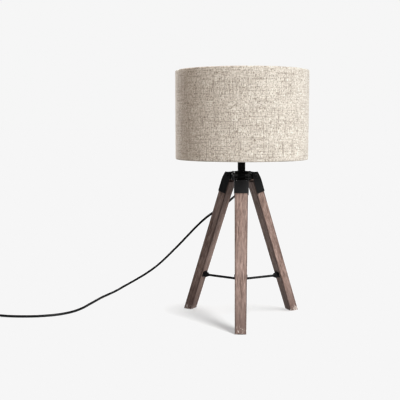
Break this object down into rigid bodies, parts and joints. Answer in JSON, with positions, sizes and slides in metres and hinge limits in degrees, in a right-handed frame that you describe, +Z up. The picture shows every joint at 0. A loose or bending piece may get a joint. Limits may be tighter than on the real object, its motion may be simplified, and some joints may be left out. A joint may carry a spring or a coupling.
{
  "type": "tripod table lamp",
  "caption": "Table lamp on a folding wooden tripod with a metal hub, Y spreader, straight drum shade and mains lead.",
  "frame": {"origin": "on the lamp's vertical axis at table height, at the centre of the object's base", "axes": "+Z up along the stem and shade axis, -Y towards the front leg, +X to the right seen from the front"},
  "size_m": [0.883, 0.3558, 0.5631],
  "materials": {
    "black_metal": "satin black powder coat",
    "black_plastic": "moulded black thermoplastic",
    "lead_black": "smooth black PVC sheath",
    "wood": "grey-brown washed hardwood with an open grain",
    "linen": "slubbed beige linen, plain weave",
    "liner": "white styrene laminate",
    "white_metal": "white coated wire and plate",
    "zinc": "zinc plated steel",
    "brass": "stamped brass",
    "ceramic": "glazed porcelain",
    "bulb_glass": "opal white glass",
    "felt": "pressed dark felt"
  },
  "bodies": {
    "stand": {"hub": "black_metal", "stem": "black_metal", "pipe": "zinc", "hub_nuts": "zinc", "pivot_spacers": "black_metal", "pivot_nuts": "black_metal", "pivot_bolt_front": "black_metal", "pivot_bolt_right": "black_metal", "pivot_bolt_left": "black_metal", "holder_cap": "black_plastic", "holder_shell": "black_plastic", "holder_insert": "ceramic", "holder_contacts": "brass", "shade_ring": "black_plastic", "shade_spider": "white_metal", "shade_top_wire": "white_metal", "shade_liner": "liner", "shade_fabric": "linen", "bulb_glass": "bulb_glass", "bulb_cap": "zinc", "strain_relief": "black_plastic", "cord_lead": "lead_black", "cord_link": "lead_black", "cord_coil": "lead_black", "cord_end": "lead_black", "cord_tie": "black_plastic", "switch_base": "black_plastic", "switch_cover": "black_plastic", "plug_body": "black_plastic", "plug_pins": "zinc"},
    "leg_front": {"leg_front": "wood", "bracket_front": "black_metal", "screws_front": "black_metal", "clevis_front": "black_metal", "clevis_pin_front": "black_metal", "pad_front": "felt"},
    "leg_right": {"leg_right": "wood", "bracket_right": "black_metal", "screws_right": "black_metal", "clevis_right": "black_metal", "clevis_pin_right": "black_metal", "pad_right": "felt"},
    "leg_left": {"leg_left": "wood", "bracket_left": "black_metal", "screws_left": "black_metal", "clevis_left": "black_metal", "clevis_pin_left": "black_metal", "pad_left": "felt"},
    "rod_front": {"arm_front": "black_metal", "arm_pin_front": "black_metal"},
    "rod_right": {"arm_right": "black_metal", "arm_pin_right": "black_metal"},
    "rod_left": {"arm_left": "black_metal", "arm_pin_left": "black_metal"},
    "boss": {"brace_boss": "black_metal"},
    "rocker": {"switch_rocker": "black_plastic"}
  },
  "joints": [
    {"name": "fold_front", "type": "hinge", "parent": "stand", "child": "leg_front", "pos_m": [0, -0.029, 0.3275], "axis": [1, 0, 0], "range_deg": [0, 6.9]},
    {"name": "fold_right", "type": "hinge", "parent": "stand", "child": "leg_right", "pos_m": [0.02511, 0.0145, 0.3275], "axis": [-0.5, 0.866, 0], "range_deg": [0, 6.9]},
    {"name": "fold_left", "type": "hinge", "parent": "stand", "child": "leg_left", "pos_m": [-0.02511, 0.0145, 0.3275], "axis": [-0.5, -0.866, 0], "range_deg": [0, 6.9]},
    {"name": "tilt_front", "type": "hinge", "parent": "leg_front", "child": "rod_front", "pos_m": [0, -0.09402, 0.088], "axis": [1, 0, 0], "range_deg": [0, 43.1]},
    {"name": "tilt_right", "type": "hinge", "parent": "leg_right", "child": "rod_right", "pos_m": [0.08142, 0.04701, 0.088], "axis": [-0.5, 0.866, 0], "range_deg": [0, 43.1]},
    {"name": "tilt_left", "type": "hinge", "parent": "leg_left", "child": "rod_left", "pos_m": [-0.08142, 0.04701, 0.088], "axis": [-0.5, -0.866, 0], "range_deg": [0, 43.1]},
    {"name": "boss_rise", "type": "slide", "parent": "stand", "child": "boss", "axis": [0, 0, 1], "range_m": [0, 0.0567]},
    {"name": "rocker_tilt", "type": "hinge", "parent": "stand", "child": "rocker", "pos_m": [-0.619, -0.036, 0.013], "axis": [0, -1, 0], "range_deg": [0, 12]}
  ],
  "couplings": [
    {"joint": "fold_right", "follows": "fold_front", "ratio": 1},
    {"joint": "fold_left", "follows": "fold_front", "ratio": 1},
    {"joint": "tilt_front", "follows": "fold_front", "ratio": 6.2333},
    {"joint": "tilt_right", "follows": "fold_front", "ratio": 6.2333},
    {"joint": "tilt_left", "follows": "fold_front", "ratio": 6.2333},
    {"joint": "boss_rise", "follows": "fold_front", "m_per_rad": 0.47034}
  ]
}
